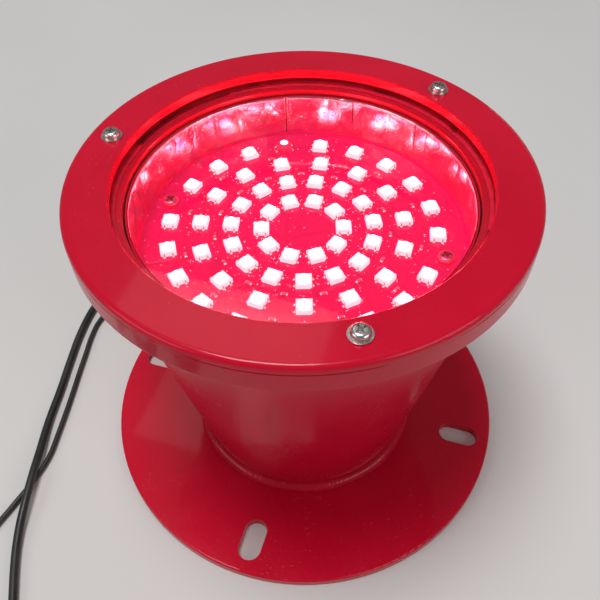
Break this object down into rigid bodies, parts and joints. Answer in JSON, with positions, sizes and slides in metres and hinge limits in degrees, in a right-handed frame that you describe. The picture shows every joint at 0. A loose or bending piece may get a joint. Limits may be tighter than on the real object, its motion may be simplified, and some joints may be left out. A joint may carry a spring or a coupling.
{
  "type": "solar warning light",
  "caption": "Round red steel warning light: a slotted foot plate, a flared body, and a screwed cover ring over a glass window and a board of square lamps, with two black leads.",
  "frame": {"origin": "centre of the foot plate's underside", "axes": "+Z from the foot plate to the glass; two of the foot plate's slots lie on X and two on Y; the leads leave on the -X side"},
  "size_m": [0.3031, 0.3501, 0.1794],
  "materials": {
    "red_paint": "glossy red powder coat",
    "window_gasket": "dark red silicone",
    "gasket_rubber": "matt black rubber",
    "window_glass": "clear polished glass",
    "zinc_steel": "bright zinc plate",
    "foil": "bright reflecting foil",
    "board_red": "glossy solder mask, lit red by the lamps",
    "lamp_resin": "pale moulded resin",
    "lamp_dome": "clear tinted resin",
    "chip_pale": "pale ceramic, lit pink",
    "chip_black": "moulded black resin",
    "white_nylon": "natural nylon",
    "cell_wrap": "shrunk film over the cells",
    "pack_sleeve": "blue heat-shrink sleeve",
    "green_board": "green solder mask and moulding",
    "brass": "turned brass",
    "copper_winding": "enamelled winding",
    "capacitor_sleeve": "printed sleeve without print",
    "lead_insulation": "thin insulated wire",
    "black_nylon": "moulded black nylon",
    "black_cable": "satin black sheath"
  },
  "bodies": {
    "root": {"foot_plate": "red_paint", "body_shell": "red_paint", "foot_weld": "red_paint", "head_ring": "red_paint", "head_weld": "red_paint", "lower_gasket": "window_gasket", "lens_glass": "window_glass", "upper_gasket": "window_gasket", "cover_ring": "red_paint", "cover_washers": "zinc_steel", "cover_screws": "zinc_steel", "lamp_tray": "red_paint", "foil_lining": "foil", "lamp_board": "board_red", "lamp_bodies": "lamp_resin", "lamp_windows": "lamp_dome", "board_resistors": "chip_pale", "board_screws": "zinc_steel", "board_spacers": "white_nylon", "board_nuts": "zinc_steel", "carrier_bar": "zinc_steel", "tray_grommet": "gasket_rubber", "battery_cells": "cell_wrap", "battery_sleeve": "pack_sleeve", "battery_pad": "gasket_rubber", "battery_clamp": "zinc_steel", "clamp_studs": "zinc_steel", "clamp_nuts": "zinc_steel", "driver_board": "green_board", "driver_pillars": "brass", "driver_screws": "zinc_steel", "driver_coil": "copper_winding", "driver_capacitors": "capacitor_sleeve", "driver_chips": "chip_black", "terminal_block": "green_board", "inner_leads": "lead_insulation", "gland_sockets": "red_paint", "socket_welds": "red_paint", "gland_bodies": "black_nylon", "gland_seals": "gasket_rubber", "gland_nuts": "black_nylon", "bend_reliefs": "gasket_rubber", "lead_ends": "black_cable", "power_lead": "black_cable", "power_lead_coil": "black_cable", "power_plug": "black_nylon", "power_plug_nut": "black_nylon", "power_plug_pins": "brass", "signal_lead": "black_cable", "signal_lead_coil": "black_cable", "signal_plug": "black_nylon", "signal_plug_nut": "black_nylon", "signal_plug_pins": "brass"}
  },
  "joints": []
}
